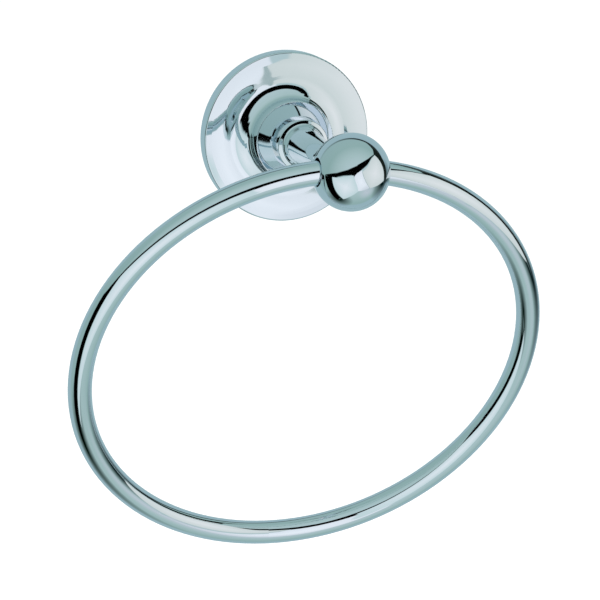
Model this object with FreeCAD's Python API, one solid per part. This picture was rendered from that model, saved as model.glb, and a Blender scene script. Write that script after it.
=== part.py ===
import FreeCAD, Part
import math
import os

# Towel ring on a round wall rose. All sizes in millimetres.
# The origin is the centre of the rose on the wall. X runs along the wall, Z is up,
# and the neck stands out of the wall along -Y. "out" below means the distance from the wall.

# Ring
rod_diameter = 8.0
ring_outer_diameter = 162.8
joint_gap = 0.3
pin_diameter = 4.0
pin_length = 16.0

# Ball on the end of the neck, bored across for the ring
ball_diameter = 25.5
ball_centre_out = 71.5
bore_clearance = 0.1
bore_edge_radius = 0.4
ball_web = 2.0

# Rose: rim, face, sloping skirt, straight boss and the dish in the boss's front
rose_diameter = 58.0
rim_depth = 5.0
rim_edge_radius = 0.6
face_rise = 0.87
face_knee_inset = 5.0
face_knee_rounding = 32.0
skirt_diameter = 35.6
skirt_foot_radius = 9.0
skirt_height = 2.4
boss_foot_diameter = 27.4
boss_foot_radius = 2.7
boss_diameter = 27.2
boss_height = 5.9
boss_edge_radius = 0.2
dish_angle = 25.0

# Walls of the hollow rose
rim_wall = 2.4
face_wall = 1.3
boss_wall = 2.6
floor_wall = 2.6

# Neck: foot in the dish, bead with a sharp lip and tapered stem
foot_diameter = 15.2
foot_height = 5.0
foot_corner_radius = 0.5
bead_diameter = 18.8
bead_back_height = 1.4
bead_back_radius = 0.6
lip_diameter = 17.6
lip_height = 5.1
lip_radius = 0.4
stem_foot_diameter = 14.5
stem_foot_height = 0.5
stem_foot_radius = 0.8
stem_base_diameter = 13.2
stem_base_height = 2.3
stem_base_radius = 1.0
waist_diameter = 8.2
waist_setback = 13.2
waist_radius = 12.0
stem_end_diameter = 9.2
seat_margin = 0.1
front_spigot_diameter = 6.0
rear_spigot_diameter = 10.0
rear_spigot_short = 0.5

# Screw and washer that hold the neck to the rose
screw_diameter = 6.0
screw_head_flats = 10.0
screw_head_height = 3.5
screw_reach = 15.0
washer_diameter = 16.0
washer_thickness = 1.2
washer_clearance = 0.2

# Wall bracket inside the rose
bracket_side_gap = 0.4
bracket_front_gap = 0.3
bracket_chamfer = 0.5
wall_hole_diameter = 4.5
wall_hole_spacing = 32.0
countersink_diameter = 8.5

# Grub screw in the underside of the rim
grub_diameter = 2.5
grub_sunk = 0.7
grub_bite = 1.8
grub_tip = 0.5
grub_socket_flats = 1.3
grub_socket_depth = 1.2

# Fits
thread_clearance = 0.02
end_clearance = 0.3
wall_gap = 0.3

# The most of a straight side that the roundings at its ends may take up together
longest_reach = 0.99

# Sizes that follow from the ones above
rod_radius = rod_diameter / 2
ring_radius = (ring_outer_diameter - rod_diameter) / 2
ball_radius = ball_diameter / 2
rose_radius = rose_diameter / 2
knee_radius = rose_radius - face_knee_inset
boss_radius = boss_diameter / 2
foot_radius = foot_diameter / 2
stem_end_radius = stem_end_diameter / 2

# The bent rod rises in the middle of the straight bore and drops at its mouths
ring_lift = ball_radius ** 2 / (4 * ring_radius)
bore_radius = rod_radius + ring_lift + bore_clearance

face_out = rim_depth + face_rise
boss_foot_out = face_out + skirt_height
boss_front_out = boss_foot_out + boss_height
dish_floor_out = boss_front_out - (boss_radius - foot_radius) * math.tan(math.radians(dish_angle))

cavity_depth = rim_depth - face_wall
cavity_radius = rose_radius - rim_wall
boss_cavity_radius = boss_radius - boss_wall
floor_out = dish_floor_out - floor_wall

bead_back_out = dish_floor_out + foot_height
bead_out = bead_back_out + bead_back_height
lip_out = bead_out + lip_height
stem_foot_out = lip_out + stem_foot_height
stem_base_out = stem_foot_out + stem_base_height

# The ball has a small flat where the stem ends against it
seat_radius = stem_end_radius + seat_margin
seat_out = ball_centre_out - math.sqrt(ball_radius ** 2 - seat_radius ** 2)
stem_waist_out = seat_out - waist_setback
front_spigot_out = ball_centre_out - bore_radius - ball_web - end_clearance

screw_end_out = floor_out + screw_reach
head_top_out = floor_out - washer_thickness
head_base_out = head_top_out - screw_head_height

bracket_thickness = cavity_depth - bracket_front_gap
bracket_radius = cavity_radius - bracket_side_gap
grub_out = bracket_thickness / 2
grub_inner_radius = bracket_radius - grub_bite

# The ring leans back until its far side meets the wall
lean_sine = (ball_centre_out - rod_radius - wall_gap) / (2 * ring_radius - ring_lift)
lean_angle = math.degrees(math.asin(lean_sine))

outward = FreeCAD.Vector(0, -1, 0)
sideways = FreeCAD.Vector(1, 0, 0)
up = FreeCAD.Vector(0, 0, 1)
pivot = FreeCAD.Vector(0, -ball_centre_out, 0)


def at(radius, out):
    return FreeCAD.Vector(radius, -out, 0)


# How far the rounding of a corner runs along the two sides that meet there
def rounding_reach(before, corner, after, rounding):
    half_angle = (before - corner).getAngle(after - corner) / 2
    return rounding / math.tan(half_angle)


# One corner of an outline: where its rounding starts, the arc, if there is one, and where it ends
def rounded(before, corner, after, reach):
    if reach == 0:
        return corner, [], corner
    back = (before - corner).normalize()
    ahead = (after - corner).normalize()
    half_angle = back.getAngle(ahead) / 2
    rounding = reach * math.tan(half_angle)
    depth = rounding / math.sin(half_angle) - rounding
    start = corner + back * reach
    middle = corner + (back + ahead).normalize() * depth
    end = corner + ahead * reach
    return start, [Part.Arc(start, middle, end).toShape()], end


# A solid turned about the rose's axis. Each corner of its closed outline is a radius,
# a distance from the wall and the radius that rounds the corner, or 0 for a sharp one.
# Where two roundings would meet on the side between them, both shrink to fit it.
def turned(corners):
    points = [at(radius, out) for radius, out, rounding in corners]
    count = len(points)
    reaches = []
    for index in range(count):
        after = points[(index + 1) % count]
        reaches.append(rounding_reach(points[index - 1], points[index], after, corners[index][2]))
    shares = []
    for index in range(count):
        side = points[(index + 1) % count].distanceToPoint(points[index])
        needed = reaches[index] + reaches[(index + 1) % count]
        shares.append(1 if needed < longest_reach * side else longest_reach * side / needed)
    bends = []
    for index in range(count):
        after = points[(index + 1) % count]
        reach = reaches[index] * min(shares[index - 1], shares[index])
        bends.append(rounded(points[index - 1], points[index], after, reach))
    edges = []
    for index in range(count):
        start, bend, end = bends[index]
        next_start = bends[(index + 1) % count][0]
        edges.extend(bend)
        edges.append(Part.makeLine(end, next_start))
    outline = Part.Face(Part.Wire(edges))
    return outline.revolve(FreeCAD.Vector(0, 0, 0), FreeCAD.Vector(0, 1, 0), 360)


def rod(radius, start_out, end_out, x=0):
    start = FreeCAD.Vector(x, -start_out, 0)
    return Part.makeCylinder(radius, end_out - start_out, start, outward)


def hexagon(flats, height, base, direction):
    corner_radius = flats / math.sqrt(3)
    corners = []
    for step in range(7):
        angle = math.radians(60 * step)
        corners.append(FreeCAD.Vector(corner_radius * math.cos(angle), corner_radius * math.sin(angle), 0))
    prism = Part.Face(Part.makePolygon(corners)).extrude(FreeCAD.Vector(0, 0, height))
    prism.Placement = FreeCAD.Placement(base, FreeCAD.Rotation(up, direction))
    return prism


def rose():
    hole_radius = rear_spigot_diameter / 2 + thread_clearance
    body = turned([
        (cavity_radius, 0, 0),
        (rose_radius, 0, 0),
        (rose_radius, rim_depth, rim_edge_radius),
        (knee_radius, face_out, face_knee_rounding),
        (skirt_diameter / 2, face_out, skirt_foot_radius),
        (boss_foot_diameter / 2, boss_foot_out, boss_foot_radius),
        (boss_radius, boss_front_out, boss_edge_radius),
        (foot_radius, dish_floor_out, 0),
        (hole_radius, dish_floor_out, 0),
        (hole_radius, floor_out, 0),
        (boss_cavity_radius, floor_out, 0),
        (boss_cavity_radius, cavity_depth, 0),
        (cavity_radius, cavity_depth, 0),
    ])
    grub_hole = grub_cylinder(grub_diameter / 2 + thread_clearance, cavity_radius - 1, rose_radius + 1)
    return body.cut(grub_hole)


def neck():
    rear_radius = rear_spigot_diameter / 2
    rear_out = floor_out + rear_spigot_short
    front_radius = front_spigot_diameter / 2
    hole_radius = screw_diameter / 2 + thread_clearance
    hole_end_out = screw_end_out + end_clearance
    return turned([
        (hole_radius, rear_out, 0),
        (rear_radius, rear_out, 0),
        (rear_radius, dish_floor_out, 0),
        (foot_radius, dish_floor_out, 0),
        (foot_radius, bead_back_out, foot_corner_radius),
        (bead_diameter / 2, bead_out, bead_back_radius),
        (lip_diameter / 2, lip_out, lip_radius),
        (stem_foot_diameter / 2, stem_foot_out, stem_foot_radius),
        (stem_base_diameter / 2, stem_base_out, stem_base_radius),
        (waist_diameter / 2, stem_waist_out, waist_radius),
        (stem_end_radius, seat_out, 0),
        (front_radius, seat_out, 0),
        (front_radius, front_spigot_out, 0),
        (0, front_spigot_out, 0),
        (0, hole_end_out, 0),
        (hole_radius, hole_end_out, 0),
    ])


# The ball is turned about the axis of its bore, with rounded mouths
def ball():
    corner_height = bore_radius + bore_edge_radius
    corner_reach = ball_radius - bore_edge_radius
    corner_x = math.sqrt(corner_reach ** 2 - corner_height ** 2)
    mouth_x = corner_x * ball_radius / corner_reach
    mouth_height = corner_height * ball_radius / corner_reach

    def across(x, height):
        return pivot + FreeCAD.Vector(x, -height, 0)

    def mouth(side):
        corner = across(side * corner_x, corner_height)
        inner = across(side * corner_x, bore_radius)
        outer = across(side * mouth_x, mouth_height)
        toward_middle = (inner - corner) + (outer - corner)
        toward_middle.normalize()
        middle = corner + toward_middle * bore_edge_radius
        return Part.Arc(inner, middle, outer).toShape()

    dome = Part.Arc(across(-mouth_x, mouth_height), across(0, ball_radius), across(mouth_x, mouth_height))
    bore_wall = Part.makeLine(across(-corner_x, bore_radius), across(corner_x, bore_radius))
    outline = Part.Wire([bore_wall, mouth(1), dome.toShape(), mouth(-1)])
    body = Part.Face(outline).revolve(pivot, sideways, 360)
    seat = rod(ball_radius, seat_out - ball_radius, seat_out)
    tapped_end_out = front_spigot_out + end_clearance
    tapped_hole = rod(front_spigot_diameter / 2 + thread_clearance, seat_out - 1, tapped_end_out)
    return body.cut(seat).cut(tapped_hole)


# The ring's centre when it hangs straight down
def ring_centre():
    return pivot - up * (ring_radius - ring_lift)


def leaned(shape):
    turned_shape = shape.copy()
    turned_shape.rotate(pivot, sideways, lean_angle)
    return turned_shape


def pin_cylinder(radius, length):
    middle = pivot + up * ring_lift
    return Part.makeCylinder(radius, length, middle - sideways * (length / 2), sideways)


def ring():
    hoop = Part.makeTorus(ring_radius, rod_radius, ring_centre(), outward)
    slot_size = rod_diameter * 1.5
    slot_corner = pivot + up * ring_lift - FreeCAD.Vector(joint_gap / 2, slot_size / 2, slot_size / 2)
    slot = Part.makeBox(joint_gap, slot_size, slot_size, slot_corner)
    drilled = pin_cylinder(pin_diameter / 2 + thread_clearance, pin_length + 2 * end_clearance)
    return leaned(hoop.cut(slot).cut(drilled))


def ring_pin():
    return leaned(pin_cylinder(pin_diameter / 2, pin_length))


def wall_bracket():
    plate = turned([
        (0, 0, 0),
        (bracket_radius, 0, 0),
        (bracket_radius, bracket_thickness - bracket_chamfer, 0),
        (bracket_radius - bracket_chamfer, bracket_thickness, 0),
        (0, bracket_thickness, 0),
    ])
    hole_radius = wall_hole_diameter / 2
    sink_radius = countersink_diameter / 2
    sink_depth = sink_radius - hole_radius
    for side in (-1, 1):
        x = side * wall_hole_spacing / 2
        plate = plate.cut(rod(hole_radius, -1, bracket_thickness + 1, x))
        sink_base = FreeCAD.Vector(x, -(bracket_thickness - sink_depth), 0)
        plate = plate.cut(Part.makeCone(hole_radius, sink_radius, sink_depth, sink_base, outward))
    notch_start = grub_inner_radius - end_clearance
    notch = grub_cylinder(grub_diameter / 2 + bore_clearance, notch_start, bracket_radius + 1)
    return plate.cut(notch)


# A cylinder that points straight down through the rim where the grub screw goes
def grub_cylinder(radius, inner, outer):
    return Part.makeCylinder(radius, outer - inner, FreeCAD.Vector(0, -grub_out, -inner), -up)


def grub_screw():
    outer = rose_radius - grub_sunk
    shank = grub_cylinder(grub_diameter / 2, grub_inner_radius + grub_tip, outer)
    tip_base = FreeCAD.Vector(0, -grub_out, -grub_inner_radius)
    tip = Part.makeCone(grub_diameter / 2 - grub_tip, grub_diameter / 2, grub_tip, tip_base, -up)
    socket_base = FreeCAD.Vector(0, -grub_out, -(outer - grub_socket_depth))
    socket = hexagon(grub_socket_flats, grub_socket_depth + 1, socket_base, -up)
    return shank.fuse(tip).removeSplitter().cut(socket)


def neck_screw():
    head = hexagon(screw_head_flats, screw_head_height, FreeCAD.Vector(0, -head_base_out, 0), outward)
    shank = rod(screw_diameter / 2, head_top_out - 1, screw_end_out)
    return head.fuse(shank).removeSplitter()


def neck_washer():
    hole = rod(screw_diameter / 2 + washer_clearance, head_top_out - 1, floor_out + 1)
    return rod(washer_diameter / 2, head_top_out, floor_out).cut(hole)


os.makedirs("parts", exist_ok=True)
pieces = {
    "rose": rose(),
    "neck": neck(),
    "ball": ball(),
    "ring": ring(),
    "ring_pin": ring_pin(),
    "wall_bracket": wall_bracket(),
    "grub_screw": grub_screw(),
    "neck_screw": neck_screw(),
    "neck_washer": neck_washer(),
}
for name, shape in pieces.items():
    shape.exportStep("parts/" + name + ".step")
    print(name, "solids", len(shape.Solids), "valid", shape.isValid(), "volume", round(shape.Volume, 1))
print("lean", round(lean_angle, 3), "lift", round(ring_lift, 3), "seat", round(seat_out, 3))
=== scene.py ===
# Looks of a chrome towel ring: finishes, studio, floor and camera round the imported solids.
import math

import bmesh
import bpy
from mathutils import Matrix, Vector


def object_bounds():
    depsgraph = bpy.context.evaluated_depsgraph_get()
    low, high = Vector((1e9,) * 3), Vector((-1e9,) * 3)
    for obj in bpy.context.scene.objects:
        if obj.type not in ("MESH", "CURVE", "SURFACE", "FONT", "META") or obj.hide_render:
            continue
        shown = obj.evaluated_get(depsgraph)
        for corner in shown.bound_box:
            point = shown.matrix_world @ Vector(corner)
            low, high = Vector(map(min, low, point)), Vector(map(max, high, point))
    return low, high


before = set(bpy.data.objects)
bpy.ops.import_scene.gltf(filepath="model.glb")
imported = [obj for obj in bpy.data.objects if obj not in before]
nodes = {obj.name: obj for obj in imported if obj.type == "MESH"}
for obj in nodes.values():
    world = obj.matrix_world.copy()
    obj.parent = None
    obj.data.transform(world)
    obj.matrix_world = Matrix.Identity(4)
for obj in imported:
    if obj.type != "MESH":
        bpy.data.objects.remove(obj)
cadBox = [list(corner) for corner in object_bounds()]
print("frame loaded:", len(nodes), "pieces")

# socket numbers of a Mix node in colour mode, where several sockets share a name
colourMix = {"share": 0, "first": 6, "second": 7, "result": 2}


class Wire:  # an output socket; arithmetic on it adds Math nodes to its tree
    def __init__(self, socket):
        self.socket = socket

    def math(self, operation, *values):
        inputs = dict(enumerate(values))
        return addNode(self.socket.id_data, "ShaderNodeMath", {"operation": operation}, inputs)

    def __add__(self, other):
        return self.math("ADD", self, other)

    def __radd__(self, other):
        return self.math("ADD", other, self)

    def __sub__(self, other):
        return self.math("SUBTRACT", self, other)

    def __rsub__(self, other):
        return self.math("SUBTRACT", other, self)

    def __mul__(self, other):
        return self.math("MULTIPLY", self, other)

    def __rmul__(self, other):
        return self.math("MULTIPLY", other, self)

    def __truediv__(self, other):
        return self.math("DIVIDE", self, other)

    def __abs__(self):
        return self.math("ABSOLUTE", self)


def setStops(ramp, stops):
    while len(ramp.elements) < len(stops):
        ramp.elements.new(0.5)  # moved to its place below
    for element, (place, colour) in zip(ramp.elements, stops):
        element.position = place
        element.color = (*colour, 1.0)


def addNode(tree, kind, settings=None, inputs=None, output=0):
    node = tree.nodes.new(kind)
    for name, value in (settings or {}).items():
        if name == "stops":
            setStops(node.color_ramp, value)
        else:
            setattr(node, name, value)
    for name, value in (inputs or {}).items():
        socket = node.inputs[name]
        if isinstance(value, Wire):
            tree.links.new(value.socket, socket)
        elif socket.type == "RGBA":
            socket.default_value = (*value, 1.0)
        else:
            socket.default_value = value
    return Wire(node.outputs[output])


def mixColours(tree, share, first, second):  # a share of 0 gives the first, 1 the second
    inputs = {colourMix["share"]: share, colourMix["first"]: first, colourMix["second"]: second}
    return addNode(tree, "ShaderNodeMix", {"data_type": "RGBA"}, inputs, colourMix["result"])


def noise(tree, where, size, detail):
    inputs = {"Vector": where, "Scale": 1.0 / size, "Detail": detail}
    return addNode(tree, "ShaderNodeTexNoise", {}, inputs)


def spread(value, low, high):  # 0..1 becomes low..high
    return value * (high - low) + low


def clamped(value):  # held between 0 and 1
    return addNode(value.socket.id_data, "ShaderNodeClamp", {}, {"Value": value})


def newMaterial(name):
    material = bpy.data.materials.new(name)
    material.use_nodes = True
    material.node_tree.nodes.clear()
    return material, material.node_tree


def output(tree, shader, kind="ShaderNodeOutputMaterial"):
    end = tree.nodes.new(kind)
    tree.links.new(shader.socket, end.inputs["Surface"])


def meshFrom(name, bm):
    mesh = bpy.data.meshes.new(name)
    bm.to_mesh(mesh)
    bm.free()
    return mesh


def addObject(name, data):
    thing = bpy.data.objects.new(name, data)
    bpy.context.collection.objects.link(thing)
    return thing


# metals: the colour varies in patches, the roughness in patches and a fine grain
# patches, grain and relief are each a size in metres and a level of detail
finishes = {
    "polishedChrome": {  # a mirror with a cool cast, a breath of polishing haze and very slight waves
        "pieces": ("rose", "neck", "ball", "ring"),
        "colours": ((0.76, 0.82, 0.86), (0.79, 0.845, 0.885)),
        "patches": (0.011, 3.0),
        "grain": (0.0007, 2.0),
        "relief": (0.014, 1.0),
        "reliefHeight": 0.000004,
        "patchShare": 0.7,  # of the roughness; the rest is grain
        "roughness": (0.022, 0.05),
    },
    "zincPlate": {
        "pieces": ("wall_bracket",),
        "colours": ((0.52, 0.54, 0.56), (0.64, 0.66, 0.68)),
        "patches": (0.004, 4.0),
        "grain": (0.0006, 2.0),
        "relief": (0.0006, 2.0),
        "reliefHeight": 0.00001,
        "patchShare": 0.4,
        "roughness": (0.32, 0.52),
    },
    "steel": {
        "pieces": ("grub_screw", "neck_screw", "neck_washer", "ring_pin"),
        "colours": ((0.42, 0.42, 0.43), (0.50, 0.50, 0.51)),
        "patches": (0.002, 4.0),
        "grain": (0.0003, 2.0),
        "relief": (0.0003, 2.0),
        "reliefHeight": 0.000004,
        "patchShare": 0.4,
        "roughness": (0.24, 0.42),
    },
}


def metalMaterial(name, look):
    material, tree = newMaterial(name)
    where = addNode(tree, "ShaderNodeTexCoord", {}, {}, "Object")
    patches = noise(tree, where, *look["patches"])
    grain = noise(tree, where, *look["grain"])
    relief = noise(tree, where, *look["relief"])
    colour = mixColours(tree, patches, *look["colours"])
    patchShare = look["patchShare"]
    uneven = patches * patchShare + grain * (1.0 - patchShare)
    height = relief * look["reliefHeight"]
    bump = addNode(tree, "ShaderNodeBump", {}, {"Strength": 1.0, "Distance": 1.0, "Height": height})
    surface = addNode(
        tree,
        "ShaderNodeBsdfPrincipled",
        {},
        {
            "Base Color": colour,
            "Metallic": 1.0,
            "Roughness": spread(uneven, *look["roughness"]),
            "Normal": bump,
        },
    )
    output(tree, surface)
    return material


for finishName, look in finishes.items():
    finish = metalMaterial(finishName, look)
    for name in look["pieces"]:
        nodes[name].data.materials[0] = finish
print("finishes made:", len(finishes))

# studio: glowing sheets that stand in for lit white cards, and black flags, round the piece, which
# its mirror finish shows
# corners of a card and the middle of a patch are directions from the centre, in degrees:
# across, where 0 is straight out of the wall, then up
# rim and middle of a card are the colours of its glow there; distances are in metres
# soft is how far an edge fades out and radius how wide a patch is before that, both in degrees
black = (0.0, 0.0, 0.0)
sideBlack = (0.01, 0.015, 0.012)
gapGrey = (0.42, 0.52, 0.52)
studio = {
    "centre": (0.0, -0.0715, 0.0),  # of the ball
    "patchSides": 48,
    "cards": {
        "leftCard": {
            "corners": [
                (-74, -10),
                (-12.5, 0),
                (-10.5, -6),
                (-4.8, -19),
                (2.5, -32),
                (10.5, -45.5),
                (5, -51),
                (-20, -66),
                (-68, -73),
            ],
            "rim": (0.66, 0.79, 0.80),
            "middle": (0.92, 0.95, 0.98),
            "distance": 0.5,
            "soft": 1.0,
        },
        "frontCard": {
            "corners": [
                (-10, 2),
                (12, 14),
                (17.5, -3),
                (23.3, -13.5),
                (33.3, -24),
                (45, -32),
                (35, -38),
                (10, -45),
                (-4, -28),
            ],
            "rim": (0.88, 0.91, 0.96),
            "middle": (1.0, 1.02, 1.07),
            "distance": 1.62,
            "soft": 1.0,
        },
        "rightCard": {
            "corners": [
                (13, 9),
                (32, 22),
                (50, 34),
                (60, 37),
                (80, 37),
                (92, -14),
                (80, -20),
                (60, -28),
                (46, -32),
                (33.3, -24),
                (23.3, -13.5),
                (17.5, -3),
            ],
            "rim": (0.73, 0.78, 0.76),
            "middle": (0.915, 0.915, 0.91),
            "distance": 0.5,
            "soft": 1.0,
        },
        "cardGap": {  # the thin grey line where the front card meets the right one
            "corners": [
                (12.5, 10),
                (17.2, -3),
                (23.0, -13.7),
                (33.0, -24.2),
                (44.8, -32.2),
                (45.2, -31.8),
                (33.6, -23.8),
                (23.6, -13.3),
                (17.8, -3),
                (13.5, 10),
            ],
            "rim": gapGrey,
            "middle": gapGrey,
            "distance": 0.495,
            "soft": 0.4,
        },
        "upperFlagLeft": {
            "corners": [
                (-99, -7),
                (-60, 2),
                (-30, 14),
                (0, 28),
                (0, 8),
                (-11, -4),
                (-16, 2),
                (-40, -1),
                (-75, -10),
            ],
            "rim": black,
            "middle": black,
            "distance": 1.6,
            "soft": 2.5,
        },
        "upperFlagRight": {
            "corners": [
                (0, 30),
                (20, 37),
                (45, 41),
                (60, 42),
                (80, 40),
                (80, 38.5),
                (60, 39),
                (50, 36),
                (32, 27),
                (20, 21),
                (0, 8),
            ],
            "rim": black,
            "middle": black,
            "distance": 1.6,
            "soft": 0.6,
        },
        "sideFlag": {
            "corners": [
                (80, 40),
                (98, 44),
                (122, 53),
                (108, 42),
                (101, 32),
                (98, 12),
                (99, -3),
                (104, -18),
                (92, -10),
            ],
            "rim": sideBlack,
            "middle": sideBlack,
            "distance": 0.48,
            "soft": 0.8,
        },
        "leftFlag": {
            "corners": [
                (-99, -8),
                (-75, -10),
                (-75, -38),
                (-77, -66),
                (-112, -68),
                (-109, -62),
                (-102, -48),
                (-98, -28),
            ],
            "rim": black,
            "middle": black,
            "distance": 0.45,
            "soft": 1.5,
        },
    },
    # round patches that fade outwards: painted shade at both sides, and a painted pool of light under
    # the cards
    "patches": {
        "lowShadeLeft": {
            "middle": (-95, -68),
            "radius": 5.0,
            "soft": 24.0,
            "colour": (0.0, 0.01, 0.005),
            "cover": 1.0,
            "distance": 0.62,
        },
        "lowShadeRight": {
            "middle": (90, -14),
            "radius": 8.0,
            "soft": 28.0,
            "colour": (0.0, 0.01, 0.01),
            "cover": 1.0,
            "distance": 0.61,
        },
        "lowGlow": {
            "middle": (44, -43),
            "radius": 2.0,
            "soft": 20.0,
            "colour": (0.62, 0.67, 0.73),
            "cover": 0.9,
            "distance": 0.63,
        },
    },
}


def direction(across, up):
    turn = math.radians(across)
    rise = math.radians(up)
    level = math.cos(rise)
    return Vector((math.sin(turn) * level, -math.cos(turn) * level, math.sin(rise)))


def cardMaterial():
    material, tree = newMaterial("studioCard")
    attribute = {"attribute_name": "cardColour"}
    colour = addNode(tree, "ShaderNodeAttribute", attribute, {}, "Color")
    cover = addNode(tree, "ShaderNodeAttribute", attribute, {}, "Alpha")
    sheet = addNode(tree, "ShaderNodeEmission", {}, {"Color": colour, "Strength": 1.0})
    clear = addNode(tree, "ShaderNodeBsdfTransparent")
    output(tree, addNode(tree, "ShaderNodeMixShader", {}, {0: cover, 1: clear, 2: sheet}))
    return material


def outward(corners):  # the direction out of the outline at each corner, as a flat unit vector
    flat = [Vector(corner) for corner in corners]
    turn = sum(a.x * b.y - a.y * b.x for a, b in zip(flat, flat[1:] + flat[:1]))
    side = 1.0 if turn > 0.0 else -1.0
    away = []
    for before, here, after in zip(flat[-1:] + flat[:-1], flat, flat[1:] + flat[:1]):
        along = ((here - before).normalized() + (after - here).normalized()).normalized()
        away.append(Vector((along.y, -along.x)) * side)
    return away


def finishSheet(name, bm, colours, covers, material):
    mesh = meshFrom(name, bm)
    tint = mesh.attributes.new("cardColour", "FLOAT_COLOR", "POINT")
    for value, colour, cover in zip(tint.data, colours, covers):
        value.color = (*colour, cover)
    mesh.materials.append(material)
    sheet = addObject(name, mesh)
    sheet.visible_camera = False
    sheet.visible_diffuse = False
    sheet.visible_shadow = False
    sheet.visible_transmission = False
    sheet.visible_volume_scatter = False


def makeCard(name, card, material):
    bm = bmesh.new()
    centre = Vector(studio["centre"])
    distance = card["distance"]
    corners = [bm.verts.new(centre + direction(*corner) * distance) for corner in card["corners"]]
    edge = []
    for corner, away in zip(card["corners"], outward(card["corners"])):
        place = Vector(corner) + away * card["soft"]
        edge.append(bm.verts.new(centre + direction(*place) * distance))
    count = len(corners)
    for index in range(count):
        after = (index + 1) % count
        bm.faces.new((corners[index], corners[after], edge[after], edge[index]))
    sheet = bm.faces.new(corners)
    colours = [card["rim"]] * 2 * count
    covers = [1.0] * count + [0.0] * count
    if card["rim"] == card["middle"]:  # one colour needs no point in the middle
        bmesh.ops.triangulate(bm, faces=[sheet])
    else:
        bmesh.ops.poke(bm, faces=[sheet])
        colours.append(card["middle"])
        covers.append(1.0)
    finishSheet(name, bm, colours, covers, material)


def makePatch(name, patch, material):
    bm = bmesh.new()
    axis = direction(*patch["middle"])
    middle = Vector(studio["centre"]) + axis * patch["distance"]
    place = Matrix.Translation(middle) @ axis.to_track_quat("Z", "Y").to_matrix().to_4x4()
    inner = patch["distance"] * math.tan(math.radians(patch["radius"]))
    outer = patch["distance"] * math.tan(math.radians(patch["radius"] + patch["soft"]))
    count = studio["patchSides"]
    bmesh.ops.create_circle(bm, cap_ends=True, segments=count, radius=inner)
    grown = bmesh.ops.extrude_edge_only(bm, edges=bm.edges[:])
    edge = [item for item in grown["geom"] if isinstance(item, bmesh.types.BMVert)]
    bmesh.ops.scale(bm, verts=edge, vec=(outer / inner, outer / inner, 1.0))
    bmesh.ops.transform(bm, verts=bm.verts, matrix=place)
    covers = [patch["cover"]] * count + [0.0] * count
    finishSheet(name, bm, [patch["colour"]] * 2 * count, covers, material)


cardFinish = cardMaterial()
for name, card in studio["cards"].items():
    makeCard(name, card, cardFinish)
for name, patch in studio["patches"].items():
    makePatch(name, patch, cardFinish)
print("studio sheets made:", len(studio["cards"]) + len(studio["patches"]))

floorLook = {
    "size": 30.0,
    "drop": 0.12,  # below the lowest point of the piece
    "colour": (0.86, 0.86, 0.86),
    "roughness": 0.9,
    "glowColour": (1.0, 1.0, 1.0),
    "glow": 0.35,  # what the camera sees besides the light that falls on it
}


def makeFloor():
    look = floorLook
    bm = bmesh.new()
    bmesh.ops.create_grid(bm, x_segments=1, y_segments=1, size=look["size"])
    bmesh.ops.translate(bm, verts=bm.verts, vec=(0.0, 0.0, cadBox[0][2] - look["drop"]))
    material, tree = newMaterial("floorPaper")
    seen = addNode(tree, "ShaderNodeLightPath", {}, {}, "Is Camera Ray")
    surface = addNode(
        tree,
        "ShaderNodeBsdfPrincipled",
        {},
        {
            "Base Color": look["colour"],
            "Roughness": look["roughness"],
            "Emission Color": look["glowColour"],
            "Emission Strength": seen * look["glow"],
        },
    )
    output(tree, surface)
    mesh = meshFrom("studioFloor", bm)
    mesh.materials.append(material)
    floor = addObject("studioFloor", mesh)
    floor.visible_glossy = False


worldLook = {
    "background": (1.0, 1.0, 1.0),  # what the camera sees behind the piece
    "light": (0.80, 0.80, 0.80),  # what matt surfaces receive
    "tent": [  # from straight out of the wall to straight into it, as a mirror finish shows it
        (0.0, (0.54, 0.67, 0.69)),
        (0.25, (0.43, 0.575, 0.565)),
        (0.5, (0.31, 0.465, 0.445)),
        (1.0, (0.32, 0.47, 0.47)),
    ],
    "lift": 0.03,  # added to the tent straight up and straight down
    "backdrop": (0.37, 0.52, 0.56),
    "backdropAxis": (0.318, 0.925, -0.206),
    "backdropEdge": 0.375,  # cosine of the angle between the axis and the edge of the backdrop
    "seam": (0.01, 0.015, 0.015),  # the dark line along that edge
    "seamWidth": 0.05,
    "seamReach": 1.6,  # from the edge to the seam's end, in seam widths
    "seamRise": 4.0,  # how fast the seam comes in with height
    "seamLow": 0.2,  # how much of it shows level with the piece
    "seamOverhead": 0.75,  # how much of it shows straight above; it fades out towards the left
}


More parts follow.
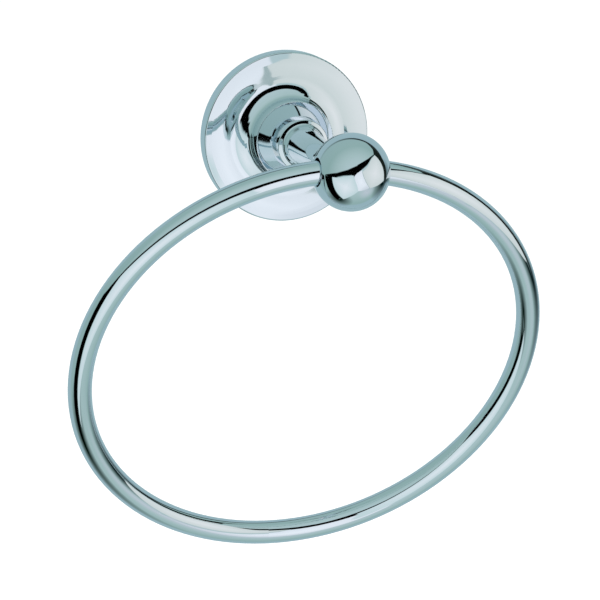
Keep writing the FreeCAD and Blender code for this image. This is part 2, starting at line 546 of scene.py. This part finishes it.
def makeWorld():
    look = worldLook
    world = bpy.data.worlds.new("studio")
    bpy.context.scene.world = world
    world.use_nodes = True
    tree = world.node_tree
    tree.nodes.clear()
    camera = addNode(tree, "ShaderNodeLightPath", {}, {}, "Is Camera Ray")
    glossy = addNode(tree, "ShaderNodeLightPath", {}, {}, "Is Glossy Ray")
    heading = addNode(tree, "ShaderNodeTexCoord", {}, {}, "Generated")
    sideways = addNode(tree, "ShaderNodeSeparateXYZ", {}, {"Vector": heading}, "X")
    inward = addNode(tree, "ShaderNodeSeparateXYZ", {}, {"Vector": heading}, "Y")
    height = addNode(tree, "ShaderNodeSeparateXYZ", {}, {"Vector": heading}, "Z")
    halfway = inward * 0.5 + 0.5  # -1..1 becomes 0..1
    tent = addNode(tree, "ShaderNodeValToRGB", {"stops": look["tent"]}, {"Fac": halfway})
    lift = abs(height) * look["lift"]
    lifted = addNode(tree, "ShaderNodeCombineXYZ", {}, {"X": lift, "Y": lift, "Z": lift})
    tent = addNode(tree, "ShaderNodeVectorMath", {"operation": "ADD"}, {0: tent, 1: lifted})
    behind = addNode(
        tree,
        "ShaderNodeVectorMath",
        {"operation": "DOT_PRODUCT"},
        {0: heading, 1: look["backdropAxis"]},
        "Value",
    )
    past = (behind - look["backdropEdge"]) / look["seamWidth"]
    colour = mixColours(tree, clamped(past), tent, look["backdrop"])
    onSeam = clamped(look["seamReach"] - abs(past))
    above = clamped(height * look["seamRise"] + look["seamLow"])
    right = clamped(sideways + look["seamOverhead"])
    colour = mixColours(tree, onSeam * above * right, colour, look["seam"])
    colour = mixColours(tree, glossy, look["light"], colour)
    colour = mixColours(tree, camera, colour, look["background"])
    background = addNode(tree, "ShaderNodeBackground", {}, {"Color": colour, "Strength": 1.0})
    output(tree, background, "ShaderNodeOutputWorld")


makeFloor()
makeWorld()
print("floor and world made")

lampLook = {
    "place": (-0.9, -1.4, 1.6),
    "aim": (0.0, -0.04, -0.05),
    "size": 1.2,
    "power": 18.0,
}


def makeLamp():
    look = lampLook
    light = bpy.data.lights.new("softLight", "AREA")
    light.shape = "SQUARE"
    light.size = look["size"]
    light.energy = look["power"]
    lamp = addObject("softLight", light)
    towards = Vector(look["aim"]) - Vector(look["place"])
    lamp.location = look["place"]
    lamp.rotation_euler = towards.to_track_quat("-Z", "Y").to_euler()
    lamp.visible_glossy = False
    lamp.visible_camera = False


# a long lens in front of the wall, a little to the left and above, tipped by three degrees
cameraLook = {
    "place": (-0.3861, -1.1515, 0.1984),
    "turn": (78.1033, -3.0369, -18.3252),  # degrees about X, Y and Z
    "lens": 217.21,
    "sensor": 36.0,
    "clip": (0.05, 60.0),
}


def makeCamera():
    look = cameraLook
    lens = bpy.data.cameras.new("camera")
    lens.lens = look["lens"]
    lens.sensor_width = look["sensor"]
    lens.clip_start, lens.clip_end = look["clip"]
    camera = addObject("camera", lens)
    camera.location = look["place"]
    camera.rotation_euler = [math.radians(angle) for angle in look["turn"]]
    bpy.context.scene.camera = camera
    bpy.context.scene.view_settings.view_transform = "Standard"


makeLamp()
makeCamera()
print("lamp and camera set")
